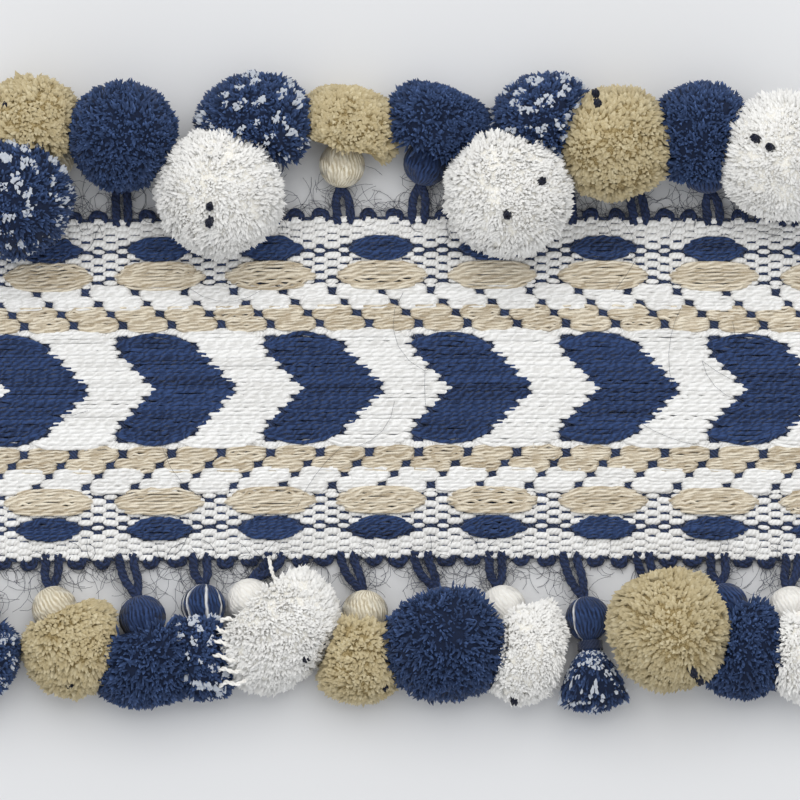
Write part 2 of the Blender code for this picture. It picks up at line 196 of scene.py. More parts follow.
def tubes(paths, half_width, half_height, sides, reference=(0.0, 0.0, 1.0)):
    """Carries an oval along many paths at once.

    A point is path + half_width * cos(turn) * side + half_height * sin(turn) * rise, where side is square to
    the path and to reference, and rise is square to path and side. paths is (yarns, stations, 3). On the UV
    map u runs along a yarn in millimetres, from a place that changes from yarn to yarn, and v once round it.
    """
    yarns, stations, _ = paths.shape
    side, rise = square_to(unit(np.gradient(paths, axis=1)), reference)
    turn = 2 * math.pi * (np.arange(sides) + 0.5) / sides
    wide = np.broadcast_to(half_width, (yarns, stations))[:, :, None, None]
    high = np.broadcast_to(half_height, (yarns, stations))[:, :, None, None]
    points = (
        paths[:, :, None]
        + wide * np.cos(turn)[:, None] * side[:, :, None]
        + high * np.sin(turn)[:, None] * rise[:, :, None]
    )
    steps = np.linalg.norm(np.diff(paths, axis=1), axis=2)
    run = np.concatenate([np.zeros((yarns, 1)), np.cumsum(steps, axis=1)], axis=1)
    run = run + chance.uniform(0, 50, (yarns, 1))
    cap_u = np.repeat(np.concatenate([run[:, 0], run[:, -1]]), sides)
    cap_uv = np.stack([cap_u, np.full(len(cap_u), 0.25)], axis=-1)
    corner_uv = np.concatenate([sleeve_uv(run[:, :, None], np.arange(sides) / sides, 1 / sides), cap_uv])
    yarn = np.repeat(np.arange(yarns), stations * sides)
    return Skin(points.reshape(-1, 3), sleeve_faces(yarns, stations, sides), corner_uv, yarn)


def plain_skin(points, faces, yarn=None):
    """A skin without a pattern along it, so its UV map is all zero."""
    corner_uv = np.zeros((sum(polygons.size for polygons in faces), 2))
    return Skin(points, faces, corner_uv, np.zeros(len(points), int) if yarn is None else yarn)


WIDEST_AT = 0.78
SPINDLE_FACES = np.array([[0, 2, 1], [0, 3, 2], [0, 1, 3], [1, 2, 4], [2, 3, 4], [3, 1, 4]])
SPINDLE_POINTS = 5


def spindles(roots, tips, half_width):
    """Three sided strands, pointed at root and tip, and half_width wide at WIDEST_AT of their length."""
    along = unit(tips - roots)
    side, rise = square_to(along, unit(chance.normal(0, 1, along.shape)))
    ring = circle(np.arange(3) * 2 * math.pi / 3, side[:, None], rise[:, None])
    middle = roots + WIDEST_AT * (tips - roots)
    middle = middle[:, None] + half_width[:, None, None] * ring
    points = np.concatenate([roots[:, None], middle, tips[:, None]], axis=1)
    first = SPINDLE_POINTS * np.arange(len(roots))[:, None, None]
    triangles = (first + SPINDLE_FACES).reshape(-1, 3)
    yarn = np.repeat(np.arange(len(roots)), SPINDLE_POINTS)
    return plain_skin(points.reshape(-1, 3), (triangles,), yarn)


def lay_mesh(name, skins, finish, values=(), normals=None):
    """Writes skins, in millimetres, as one smooth object.

    values holds (attribute name, one number a point), and normals replaces the smooth normals at the points.
    """
    base, points, faces, uvs = 0, [], [], []
    for skin in skins:
        faces.extend(polygons + base for polygons in skin.faces)
        uvs.append(skin.corner_uv)
        points.append(skin.points)
        base += len(skin.points)
    corners = np.concatenate([polygons.ravel() for polygons in faces])
    sizes = np.concatenate([np.full(len(polygons), polygons.shape[1]) for polygons in faces])
    starts = np.concatenate([[0], np.cumsum(sizes)[:-1]])
    mesh = bpy.data.meshes.new(name)
    mesh.vertices.add(base)
    mesh.vertices.foreach_set("co", (np.concatenate(points) * MM).astype(np.float32).ravel())
    mesh.loops.add(len(corners))
    mesh.loops.foreach_set("vertex_index", corners.astype(np.int32))
    mesh.polygons.add(len(sizes))
    mesh.polygons.foreach_set("loop_start", starts.astype(np.int32))
    mesh.update(calc_edges=True)
    uv_map = mesh.uv_layers.new(name="UVMap")
    uv_map.data.foreach_set("uv", np.concatenate(uvs).astype(np.float32).ravel())
    for attribute, numbers in values:
        layer = mesh.attributes.new(attribute, "FLOAT", "POINT")
        layer.data.foreach_set("value", np.asarray(numbers, np.float32))
    mesh.shade_smooth()
    if normals is not None:
        mesh.normals_split_custom_set_from_vertices(normals.tolist())
    mesh.materials.append(finish)
    piece = bpy.data.objects.new(name, mesh)
    bpy.context.scene.collection.objects.link(piece)
    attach(piece, "root")
    return piece


def yarn_tone(skins):
    """One random number for each yarn, repeated over its points."""
    return np.concatenate([chance.random(skin.yarn[-1] + 1)[skin.yarn] for skin in skins])


# Finishes


def node(tree, kind, **settings):
    """Adds a shader node and sets its properties."""
    made = tree.nodes.new(kind)
    for key, value in settings.items():
        setattr(made, key, value)
    return made


def feed(tree, sockets, values):
    """Links each value that is a socket, and sets each one that is a plain number or colour."""
    for socket, value in zip(sockets, values):
        if isinstance(value, bpy.types.NodeSocket):
            tree.links.new(value, socket)
        else:
            socket.default_value = (*value, 1) if isinstance(value, tuple) else value


def math_node(tree, operation, *values):
    """A Math node fed by sockets or plain numbers. MULTIPLY_ADD is first * second + third."""
    made = node(tree, "ShaderNodeMath", operation=operation)
    feed(tree, made.inputs, values)
    return made.outputs[0]


def mix_colour(tree, share, first, second):
    """A Mix node for colours, fed by sockets or plain colours."""
    made = node(tree, "ShaderNodeMix", data_type="RGBA")
    feed(tree, (made.inputs[0], made.inputs[6], made.inputs[7]), (share, first, second))
    return made.outputs[2]


def spread_noise(tree, scale, detail):
    """Noise over Object coordinates, scale being in lumps to the metre."""
    place = node(tree, "ShaderNodeTexCoord")
    noise = node(tree, "ShaderNodeTexNoise")
    noise.inputs["Scale"].default_value = scale
    noise.inputs["Detail"].default_value = detail
    tree.links.new(place.outputs["Object"], noise.inputs["Vector"])
    return noise.outputs["Fac"]


def attribute(tree, name):
    return node(tree, "ShaderNodeAttribute", attribute_name=name).outputs["Fac"]


def uv_parts(tree):
    """Both numbers of the piece's own UV map."""
    uv = node(tree, "ShaderNodeUVMap", uv_map="UVMap")
    parts = node(tree, "ShaderNodeSeparateXYZ")
    tree.links.new(uv.outputs[0], parts.inputs[0])
    return parts.outputs[0], parts.outputs[1]


def raise_relief(tree, shader, height, strength, distance):
    """Bump from a height, distance being its size in millimetres."""
    bump = node(tree, "ShaderNodeBump")
    bump.inputs["Strength"].default_value = strength
    bump.inputs["Distance"].default_value = distance * MM
    tree.links.new(height, bump.inputs["Height"])
    tree.links.new(bump.outputs[0], shader.inputs["Normal"])


def blank_finish(name, roughness, sheen=0.0, specular=0.5):
    """A new material, its node tree and its shader, with the values that are the same all over."""
    made = bpy.data.materials.new(name)
    made.use_nodes = True
    shader = made.node_tree.nodes["Principled BSDF"]
    shader.inputs["Roughness"].default_value = roughness
    shader.inputs["Sheen Weight"].default_value = sheen
    shader.inputs["Specular IOR Level"].default_value = specular
    return made, made.node_tree, shader


def yarn_finish(name, shade, light, ply, relief, fleck=None, uneven=1.6, roughness=0.85, sheen=0.15):
    """Plied yarn. Its slanting plies come from sin(2 pi (u / length + turns v + uneven noise)), ply being
    (length, turns).

    The colour runs from shade between the plies to light on them, and changes a little from yarn to yarn.
    relief is the height of the plies in millimetres, and fleck the colour of the yarns marked as flecks.
    """
    made, tree, shader = blank_finish(name, roughness, sheen, 0.25)
    u, v = uv_parts(tree)
    slant = math_node(tree, "MULTIPLY_ADD", u, 1 / ply[0], math_node(tree, "MULTIPLY", v, ply[1]))
    phase = math_node(tree, "MULTIPLY_ADD", spread_noise(tree, 700, 1.0), uneven, slant)
    wave = math_node(tree, "SINE", math_node(tree, "MULTIPLY", phase, 2 * math.pi))
    plies = math_node(tree, "MULTIPLY_ADD", wave, 0.5, 0.5)
    height = math_node(tree, "MULTIPLY_ADD", spread_noise(tree, 4200, 3.0), 0.9, plies)
    tone = math_node(tree, "MULTIPLY_ADD", attribute(tree, "tone"), 0.35, -0.175)
    colour = mix_colour(tree, math_node(tree, "MULTIPLY_ADD", height, 0.62, tone), shade, light)
    if fleck:
        colour = mix_colour(tree, attribute(tree, "fleck"), colour, fleck)
    tree.links.new(colour, shader.inputs["Base Color"])
    raise_relief(tree, shader, height, 0.8, relief)
    return made


def pile_finish(name, root, shade, light, fleck=None, sheen=0.1):
    """Cut pile. A strand has painted shade at its root, darker and streaky, its own tone, and some are
    flecks.
    """
    made, tree, shader = blank_finish(name, 0.9, sheen, 0.2)
    mottle = math_node(tree, "MULTIPLY", spread_noise(tree, 2600, 2.0), 0.5)
    tone = math_node(tree, "MULTIPLY_ADD", attribute(tree, "tone"), 0.75, mottle)
    # Painted shade at the strands' roots and over the core dome: the colour root mixed with shade in streaks
    streaks = math_node(tree, "MULTIPLY_ADD", spread_noise(tree, 3200, 3.0), 4.0, -1.6)
    painted_root_shade = mix_colour(tree, streaks, root, shade)
    colour = mix_colour(tree, attribute(tree, "tip"), painted_root_shade, mix_colour(tree, tone, shade, light))
    if fleck:
        colour = mix_colour(tree, attribute(tree, "fleck"), colour, fleck)
    tree.links.new(colour, shader.inputs["Base Color"])
    return made


def head_finish(colour, shade, light, relief=0.10, fleck=None):
    """The yarn of a ball head, which lies side by side from pole to pole."""
    return yarn_finish(f"{colour} head yarn", shade, light, (3.0, 1), relief, fleck, uneven=0.9)


def thread_finish(colour, shade, light):
    """The thread of a neck binding, smoother than the yarns."""
    return yarn_finish(f"{colour} binding thread", shade, light, (0.6, 2), 0.04, roughness=0.6, sheen=0.3)


NAVY_SHADE, NAVY_LIGHT = (0.003, 0.007, 0.024), (0.034, 0.072, 0.20)
# NAVY_DARK is the darkest navy of the cloth and the shade of navy thread, and also the painted shade at the
# roots of navy and mixed pile
NAVY_DARK = (0.008, 0.014, 0.035)
NAVY_PILE_SHADE, NAVY_PILE_LIGHT = (0.008, 0.017, 0.050), (0.105, 0.185, 0.43)
WHITE_SHADE, WHITE_LIGHT = (0.66, 0.65, 0.63), (0.94, 0.935, 0.925)
BEIGE_SHADE, BEIGE_LIGHT = (0.34, 0.26, 0.16), (0.85, 0.775, 0.635)
FLECK_WHITE, FLECK_SOFT = (0.86, 0.86, 0.86), (0.57, 0.61, 0.68)
NAVY_THREAD = (0.02, 0.035, 0.09)

# (length of a ply in millimetres, plies round the yarn) comes after the colours, and then the relief
FINISHES = {
    "navy_float": yarn_finish("navy float yarn", NAVY_SHADE, NAVY_LIGHT, (1.6, 2), 0.24),
    "navy_weft": yarn_finish("navy weft yarn", (0.004, 0.007, 0.020), (0.044, 0.070, 0.16), (0.6, 6), 0.20),
    "white_float": yarn_finish("white float yarn", WHITE_SHADE, WHITE_LIGHT, (2.2, 2), 0.06),
    "white_ground": yarn_finish("white ground warp", WHITE_SHADE, WHITE_LIGHT, (0.8, 2), 0.06),
    "beige_float": yarn_finish("beige float yarn", BEIGE_SHADE, BEIGE_LIGHT, (4.0, 2), 0.14, uneven=1.0),
    "loop": yarn_finish("navy loop yarn", (0.006, 0.010, 0.026), (0.024, 0.042, 0.115), (0.9, 2), 0.12),
    "yarn_end": yarn_finish(
        "cut end of dark yarn", (0.003, 0.004, 0.010), (0.010, 0.014, 0.034), (0.9, 2), 0.12
    ),
    "navy_head": head_finish("navy", NAVY_SHADE, (0.040, 0.08, 0.22)),
    "mixed_head": head_finish("mixed", NAVY_SHADE, NAVY_LIGHT, fleck=FLECK_WHITE),
    "beige_head": head_finish("beige", (0.48, 0.40, 0.26), (0.94, 0.89, 0.75)),
    "cream_head": head_finish("cream", (0.86, 0.83, 0.77), (0.97, 0.955, 0.92), 0.08),
    "tan_thread": thread_finish("tan", (0.46, 0.33, 0.25), (0.76, 0.61, 0.50)),
    "navy_thread": thread_finish("navy", NAVY_DARK, NAVY_THREAD),
    # The first colour of each pile is painted shade, at the roots of its strands and over its core dome
    "navy_pile": pile_finish("navy pile", NAVY_DARK, NAVY_PILE_SHADE, NAVY_PILE_LIGHT),
    "mixed_pile": pile_finish("mixed pile", NAVY_DARK, NAVY_PILE_SHADE, NAVY_PILE_LIGHT, FLECK_SOFT),
    "beige_pile": pile_finish(
        "beige pile", (0.24, 0.18, 0.08), (0.48, 0.38, 0.20), (0.76, 0.67, 0.45), sheen=0.2
    ),
    "cream_pile": pile_finish(
        "cream pile", (0.84, 0.81, 0.73), (0.985, 0.97, 0.93), (0.995, 0.99, 0.975), sheen=0.6
    ),
}


def lay_yarns(name, skins, finish):
    """Lays skins of yarn as one object, with a tone for each yarn."""
    return lay_mesh(name, skins, FINISHES[finish], [("tone", yarn_tone(skins))])


# The woven tape


def bow(x):
    """How far the tape's middle line wanders sideways at x."""
    return BOW * np.cos(2 * math.pi * (x - 10) / BOW_LENGTH) - BOW


def pick_x(pick):
    """Where weft pick number pick crosses, counted from the left end."""
    return (np.asarray(pick, float) + 0.5) * WEFT - TAPE_LENGTH / 2


# A bundle is count yarns that float side by side, pitch apart, and start_pitch and end_pitch apart at their
# ends. top is the height of their middle lines and half_width their half thickness. trim, taper and dive are
# as float_yarns says, ragged is how unevenly the yarns end, and wander how far they stray sideways.
Bundle = namedtuple(
    "Bundle", "count pitch start_pitch end_pitch top half_width trim taper dive ragged wander"
)
FLOAT_LOW = 0.62
FLOAT_FLATNESS = 0.88
SHORTEST_FLOAT = 1.2
# More repeats than the tape holds, to both sides
REPEATS = np.arange(-30, 40)


def float_yarns(start, end, y, bundle, stations, sides=6, shear=0.0, arch=0.0, inward=(0.0, 0.0)):
    """Yarns that float side by side over the face from start to end, one bundle for each entry of the arrays.

    With d the distance from the nearer end, yarns draw together over the last taper millimetres by
    1 - sin(pi d / 2 taper), and dive into the cloth over the last dive millimetres along a quarter of an
    oval. The outer yarns of a bundle are shorter by trim. shear moves a yarn back for each millimetre away
    from the middle line, arch is how far the outer yarns bend outwards, and inward is how far each end of a
    bundle gathers to its inner side, as a share of its half width.
    """
    start, end, y = np.broadcast_arrays(*(np.asarray(a, float) for a in (start, end, y)))
    outwards = np.sign(y)[:, None, None]
    offset = np.arange(bundle.count) - (bundle.count - 1) / 2
    outer = (offset / offset.max()) ** 2
    t = np.linspace(-1, 1, stations)
    t = np.sign(t) * np.abs(t) ** 0.7
    shape = (len(start), bundle.count)
    far = np.abs(y[:, None] + offset * bundle.pitch) - np.abs(y[:, None])
    first = start[:, None] - shear * far + bundle.trim * outer + chance.normal(0, bundle.ragged, shape)
    last = end[:, None] - shear * far - bundle.trim * outer + chance.normal(0, bundle.ragged, shape)
    half, centre = (last - first) / 2, (last + first) / 2
    x = centre[..., None] + half[..., None] * t
    to_ends = (x - start[:, None, None], end[:, None, None] - x)
    together = [1 - np.sin(np.clip(d / bundle.taper, 0, 1) * math.pi / 2) for d in to_ends]
    spread = bundle.pitch - (bundle.pitch - bundle.start_pitch) * together[0]
    spread = spread - (bundle.pitch - bundle.end_pitch) * together[1]
    phase, wave = chance.uniform(0, 6, (*shape, 1)), chance.uniform(1.5, 4.5, (*shape, 1))
    wander = chance.normal(0, bundle.wander, (*shape, 1)) * np.sin(2 * math.pi * x / wave + phase)
    across = y[:, None, None] + offset[:, None] * spread + wander
    gathered = inward[0] * together[0] + inward[1] * together[1]
    across = across - outwards * gathered * offset.max() * bundle.pitch
    share = 0.5 + 0.5 * np.sign(y)[:, None] * offset / offset.max()
    across = across + arch * outwards * share[..., None] * (1 - t**2)
    from_tip = half[..., None] * (1 - np.abs(t))
    sunk = 1 - np.clip(from_tip / bundle.dive, 0, 1)
    crown = 0.07 * outer[:, None] * (1 - t**2)
    z = FLOAT_LOW + (bundle.top - FLOAT_LOW) * np.sqrt(1 - sunk**2) - crown
    z = z + chance.normal(0, 0.05, (*shape, 1)) * (1 - t**2)
    paths = np.stack(np.broadcast_arrays(x, across + bow(x), z), axis=-1).reshape(-1, stations, 3)
    slub = 1 + chance.normal(0, 0.08, (*shape, 1))
    slub = slub + 0.07 * np.sin(2 * math.pi * x / (1.3 * wave) + 2 * phase)
    width = (bundle.half_width * slub * (1 - 0.25 * sunk**2)).reshape(-1, stations)
    return tubes(paths, width, FLOAT_FLATNESS * width, sides)


def repeat_floats(first_start, first_end, period, y, bundle, **shape):
    """The same float at every repeat of the pattern along the tape, trimmed where the tape is cut."""
    turns = REPEATS * period
    start, end = pick_x(first_start + turns), pick_x(first_end + turns)
    limit = TAPE_LENGTH / 2
    kept = (end > -limit + SHORTEST_FLOAT) & (start < limit - SHORTEST_FLOAT)
    start, end = np.maximum(start[kept], -limit), np.minimum(end[kept], limit)
    return float_yarns(start, end, np.full(kept.sum(), y), bundle, **shape)


CHEVRON_PERIOD = 12
CHEVRON_ROW = 2.23
NAVY_CHEVRON = Bundle(3, 0.745, 0.14, 0.18, 1.42, 0.42, 0.1, 2.3, 0.8, 0.05, 0.10)
NAVY_CHEVRON_EDGE = Bundle(4, 0.745, 0.12, 0.14, 1.42, 0.46, 0.5, 8.0, 0.9, 0.06, 0.09)
WHITE_CHEVRON = Bundle(3, 0.745, 0.30, 0.46, 1.38, 0.47, 0.75, 1.3, 0.7, 0.05, 0.06)
WHITE_CHEVRON_EDGE = Bundle(4, 0.70, 0.20, 0.40, 1.38, 0.47, 0.8, 3.0, 0.9, 0.08, 0.06)
CHEVRON_SHEAR = 0.15
WHITE_EDGE_SHEAR = 1.4
# The first and last pick of a chevron's innermost row
NAVY_PICKS, WHITE_PICKS = (26.95, 34.2), (33.85, 39.9)


def chevrons():
    """Crescent floats. Row r ends one weft further left for each row away from the tape's middle line."""
    navy, white = [], []
    for side in (-1, 1):
        for row in range(3):
            left, right = (pick - row for pick in NAVY_PICKS)
            y = side * CHEVRON_ROW * (row + 0.5)
            navy.append(
                repeat_floats(left, right, CHEVRON_PERIOD, y, NAVY_CHEVRON, stations=15, shear=CHEVRON_SHEAR)
            )
        left, right, y = NAVY_PICKS[0] - 3 + 0.4, NAVY_PICKS[1] - 3 - 0.2, side * (CHEVRON_ROW * 3.5 + 0.27)
        shape = {"stations": 15, "shear": CHEVRON_SHEAR, "arch": 0.6, "inward": (0.2, 0.8)}
        navy.append(repeat_floats(left, right, CHEVRON_PERIOD, y, NAVY_CHEVRON_EDGE, **shape))
    for row in range(-4, 5):
        edge = abs(row) == 4
        bundle = WHITE_CHEVRON_EDGE if edge else WHITE_CHEVRON
        y = CHEVRON_ROW * row + (0.16 * np.sign(row) if edge else 0)
        left, right = WHITE_PICKS[0] - abs(row), WHITE_PICKS[1] - abs(row) + (0.35 if edge else 0)
        shape = {"shear": WHITE_EDGE_SHEAR, "arch": 0.2} if edge else {"shear": CHEVRON_SHEAR}
        white.append(repeat_floats(left, right, CHEVRON_PERIOD, y, bundle, stations=15, **shape))
    return navy, white


# Rows of short floats between the weft squares, as (distance from the middle line, pick of a square, colour)
CHECK_ROWS = ((11.66, 49, "beige"), (13.68, 48, "beige"), (15.52, 47, "white"), (17.32, 46, "white"))
CHECK_PERIOD = 4
SQUARE_HALF = 0.29
BEIGE_CHECK = Bundle(5, 0.56, 0.28, 0.28, 1.42, 0.35, 0.2, 2.4, 0.7, 0.1, 0.10)
WHITE_CHECK = Bundle(4, 0.68, 0.36, 0.36, 1.40, 0.45, 0.2, 2.2, 0.7, 0.1, 0.06)


def checks():
    """Short floats that leave a square of weft bare at every fourth pick, a weft further along each row."""
    floats = {"beige": [], "white": []}
    for distance, pick, colour in CHECK_ROWS:
        bundle = BEIGE_CHECK if colour == "beige" else WHITE_CHECK
        start, end = pick + SQUARE_HALF, pick + CHECK_PERIOD - SQUARE_HALF
        for y in (-distance, distance):
            floats[colour].append(repeat_floats(start, end, CHECK_PERIOD, y, bundle, stations=9, sides=5))
    return floats


LEAF_PERIOD = 9
LEAF_PICK = 34
LEAF_COVER = 0.62
Leaf = namedtuple("Leaf", "y reach bundle")
BEIGE_LEAF = Leaf(20.3, 3.72, Bundle(8, 0.66, 0.26, 0.26, 1.68, 0.35, 1.8, 6.4, 1.2, 0.25, 0.13))
NAVY_LEAF = Leaf(25.2, 2.75, Bundle(7, 0.65, 0.10, 0.10, 1.62, 0.36, 1.5, 5.4, 1.3, 0.2, 0.14))


def leaves(leaf):
    """Leaf shaped bundles, one in every nine wefts along both edges."""
    start, end = LEAF_PICK - leaf.reach, LEAF_PICK + leaf.reach
    return [
        repeat_floats(start, end, LEAF_PERIOD, side * leaf.y, leaf.bundle, stations=15, arch=arch)
        for side, arch in ((-1, -0.35), (1, 0.0))
    ]


# Half the length, width and height of a ground warp where it shows
OVAL_HALF = (1.6, 0.69, 0.38)
CHECK_EDGE = 1.12


def ground_ovals(x, y, size):
    """Where a ground warp crosses over a weft: z = low + rise (1 - t^2), narrowing to its ends by
    (1 - t^3)^0.6."""
    t = np.array([-0.985, -0.76, -0.3, 0.3, 0.76, 0.985])
    x = x + chance.normal(0, 0.06, x.shape)
    y = y + chance.normal(0, 0.04, x.shape)
    size = (size * chance.uniform(0.92, 1.08, x.shape))[:, None]
    along = x[:, None] + OVAL_HALF[0] * size * t
    tilt = chance.normal(0, 0.07, x.shape)[:, None]
    z = 0.72 + 0.38 * (1 - t**2)
    paths = np.stack(np.broadcast_arrays(along, y[:, None] + tilt * t + bow(along), z), axis=-1)
    narrow = (1 - np.abs(t) ** 3) ** 0.6
    return tubes(paths, OVAL_HALF[1] * size * narrow, OVAL_HALF[2] * narrow, 5)


GROUND_PITCH = 0.6

# Rows of ground warp, as (distance from the middle line, thickness compared with OVAL_HALF)
GROUND_ROWS = (
    *((9.72 + 0.42 * row, 0.95) for row in range(3)),
    (18.42, 0.95),
    (19.25, 0.80),
    *((20.1 + 0.765 * row, 1.0) for row in range(6)),
    (24.83, 0.72),
    *((25.75 + 0.73 * row, 1.04) for row in range(2)),
    *((27.22 + GROUND_PITCH * row, 1.02) for row in range(6)),
)


def inside_leaf(x, distance, leaf):
    """Whether a point lies under a leaf's floats."""
    repeat = LEAF_PERIOD * WEFT
    along = (x - pick_x(LEAF_PICK) + repeat / 2) % repeat - repeat / 2
    half_height = leaf.bundle.count * leaf.bundle.pitch / 2
    return (along / (leaf.reach * WEFT)) ** 2 + ((distance - leaf.y) / half_height) ** 2 < LEAF_COVER


def ground_warp():
    """White ground warps, each over one weft and under the next, every second row one weft further on."""
    places = []
    for number, (distance, size) in enumerate(GROUND_ROWS):
        x = pick_x(np.arange(number % 2, WEFTS, 2))
        x = x[~inside_leaf(x, distance, BEIGE_LEAF) & ~inside_leaf(x, distance, NAVY_LEAF)]
        places += [(x, side * distance, size) for side in (-1, 1)]
    for distance, pick, _ in CHECK_ROWS:
        x = pick_x(np.arange(pick % CHECK_PERIOD, WEFTS, CHECK_PERIOD))
        places += [(x, side * (distance + step * CHECK_EDGE), 0.62) for side in (-1, 1) for step in (-1, 1)]
    places = [np.broadcast_arrays(*place) for place in places]
    return [ground_ovals(*(np.concatenate(numbers) for numbers in zip(*places)))]


def weft_picks():
    """Flat bundles of navy weft straight across the tape, seen wherever no warp covers them."""
    x = pick_x(np.arange(WEFTS))
    y = np.linspace(-TAPE_HALF_WIDTH, TAPE_HALF_WIDTH, 32)
    z = WEFT_HEIGHT + 0.04 * np.sin(y)
    shape = (WEFTS, len(y))
    wander = chance.normal(0, 0.04, shape)
    paths = np.stack([x[:, None] + wander, y + bow(x)[:, None], np.broadcast_to(z, shape)], axis=-1)
    return [tubes(paths, WEFT_HALF[0], WEFT_HALF[1], 6)]


def cloth():
    """The body of the tape: a sheet whose faces lie at 0 and CLOTH_THICKNESS, ribbed a little by the wefts.

    The section across the tape is carried along it as a closed flat tube.
    """
    x = np.linspace(-TAPE_LENGTH / 2, TAPE_LENGTH / 2, WEFTS * 2 + 1)[:, None]
    columns = 12
    across = np.linspace(-TAPE_HALF_WIDTH, TAPE_HALF_WIDTH, columns)
    top = CLOTH_THICKNESS + 0.04 * np.cos(2 * math.pi * (x + TAPE_LENGTH / 2) / WEFT)
    section_y = np.concatenate([across, across[::-1]])
    section_up = np.concatenate([np.zeros(columns), np.ones(columns)])
    points = np.stack(np.broadcast_arrays(x, section_y + bow(x), section_up * top), axis=-1).reshape(-1, 3)
    quads, caps = sleeve_faces(1, len(x), 2 * columns, turned=True)
    corner_uv = points[np.concatenate([quads.ravel(), caps.ravel()])][:, :2]
    return Skin(points, (quads, caps), corner_uv, np.zeros(len(points), int))


def cloth_finish():
    """Navy weft over the whole back and between the warps, one rib for each pick, with pale warp between."""
    made, tree, shader = blank_finish("cloth body", 0.9)
    u, v = uv_parts(tree)
    column = math_node(tree, "SINE", math_node(tree, "MULTIPLY", u, math.pi / WEFT))
    line = math_node(tree, "SINE", math_node(tree, "MULTIPLY", v, math.pi / GROUND_PITCH))
    over = math_node(tree, "GREATER_THAN", math_node(tree, "MULTIPLY", column, line), 0.35)
    fibres = spread_noise(tree, 3000, 3.0)
    navy = mix_colour(tree, fibres, NAVY_DARK, NAVY_THREAD)
    colour = mix_colour(tree, math_node(tree, "MULTIPLY", over, 0.8), navy, (0.55, 0.54, 0.50))
    tree.links.new(colour, shader.inputs["Base Color"])
    raise_relief(tree, shader, math_node(tree, "ADD", over, fibres), 0.7, 0.15)
    return made


def weave_tape():
    navy, white = chevrons()
    floats = checks()
    on_cloth = [
        lay_yarns(name, skins, finish)
        for name, skins, finish, slot in (
            ("weft_picks", weft_picks(), "navy_weft", "navy_yarn"),
            ("ground_warp", ground_warp(), "white_ground", "tape_yarn"),
            ("chevron_floats_navy", navy, "navy_float", "navy_yarn"),
            ("chevron_floats_white", white, "white_float", "tape_yarn"),
            ("check_floats_beige", floats["beige"], "beige_float", "beige_yarn"),
            ("check_floats_white", floats["white"], "white_float", "tape_yarn"),
            ("leaf_floats_beige", leaves(BEIGE_LEAF), "beige_float", "beige_yarn"),
            ("leaf_floats_navy", leaves(NAVY_LEAF), "navy_float", "navy_yarn"),
        )
    ]
    body = lay_mesh("tape_cloth", [cloth()], cloth_finish())
    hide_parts("tape")


# Picots, hanging loops and stray fibres


def root_point(row, column):
    """Where a hanging loop leaves the tape's edge."""
    x = column * LOOP_EVERY * PICOT_PITCH - TAPE_LENGTH / 2 + row.loop_offset
    return np.array([x, row.side * STRIP_REACH + bow(x), STRIP_HEIGHT])


def loop_end(solid):
    """Where a hanging loop meets its ball head, on the side that faces the tape and away from the skirt."""
    to_root = unit(root_point(solid.row, solid.number - 1) - solid.head)
    end = solid.head + (HEAD_RADIUS + CLEAR) * unit(2 * to_root - solid.axis)
    end[2] = max(end[2], LEG_END_LOWEST)
    return end


def smooth_path(knots, stations):
    """A curve through few points: a cubic in each stretch, with the slope of the chord round each knot."""
    knots = np.asarray(knots, float)
    slopes = np.gradient(knots, axis=0)
    where = np.linspace(0, len(knots) - 1, stations)
    stretch = np.minimum(where.astype(int), len(knots) - 2)
    s = (where - stretch)[:, None]
    first, second = knots[stretch], knots[stretch + 1]
    return (
        (2 * s**3 - 3 * s**2 + 1) * first
        + (s**3 - 2 * s**2 + s) * slopes[stretch]
        + (3 * s**2 - 2 * s**3) * second
        + (s**3 - s**2) * slopes[stretch + 1]
    )


# Plied yarn is strands, each half_width thick, that keep gap from a path and turn once round it in every lay
Plied = namedtuple("Plied", "strands gap lay half_width")
LEG_YARN = Plied(4, 0.54, 7.5, 0.44)
PICOT_YARN = Plied(3, 0.40, 5.0, 0.42)
CUT_YARN = Plied(4, 0.42, 4.0, 0.42)
LOOSE_YARN = Plied(2, 0.22, 2.6, 0.25)


def plied(path, yarn, turn=0.0, narrow=1.0, way=1):
    """The strands of a yarn wound round a path, the other way round where way is -1.

    turn is where the first strand starts, and narrow scales the gap along the path.
    """
    side, rise = square_to(unit(np.gradient(path, axis=0)))
    run = np.concatenate([[0], np.cumsum(np.linalg.norm(np.diff(path, axis=0), axis=1))])
    gap = np.broadcast_to(yarn.gap * narrow, run.shape)[:, None]
    turns = run / (way * yarn.lay) + turn + np.arange(yarn.strands)[:, None] / yarn.strands
    return path + gap * circle(2 * math.pi * turns, side, rise)


def hanging_legs(row, solids):
    """The two legs of each hanging loop, from inside the cloth to the ball head, of four strands each."""
    strands, stations = [], 16
    for column, solid in enumerate(solids):
        root, end = root_point(row, column), loop_end(solid)
        for leg in (-1, 1):
            beside = leg * LEG_SPREAD * chance.uniform(0.85, 1.15)
            x = root[0] + beside
            knots = [
                (x, row.side * (TAPE_HALF_WIDTH - 1.3) + bow(x), 0.75),
                (x, row.side * (TAPE_HALF_WIDTH + 0.3) + bow(x), 0.95),
                root + 0.42 * (end - root) + (beside, 0, 0.25),
                root + 0.75 * (end - root) + (leg * 0.75, 0, 0.2),
                end + (leg * 0.3, 0, 0),
                end + 0.12 * (solid.head - end),
            ]
            path = smooth_path(knots, stations)
            strands.append(plied(path, LEG_YARN, chance.random(), np.linspace(1, 0.6, stations), leg))
    return tubes(np.concatenate(strands), LEG_YARN.half_width, LEG_YARN.half_width, 6)


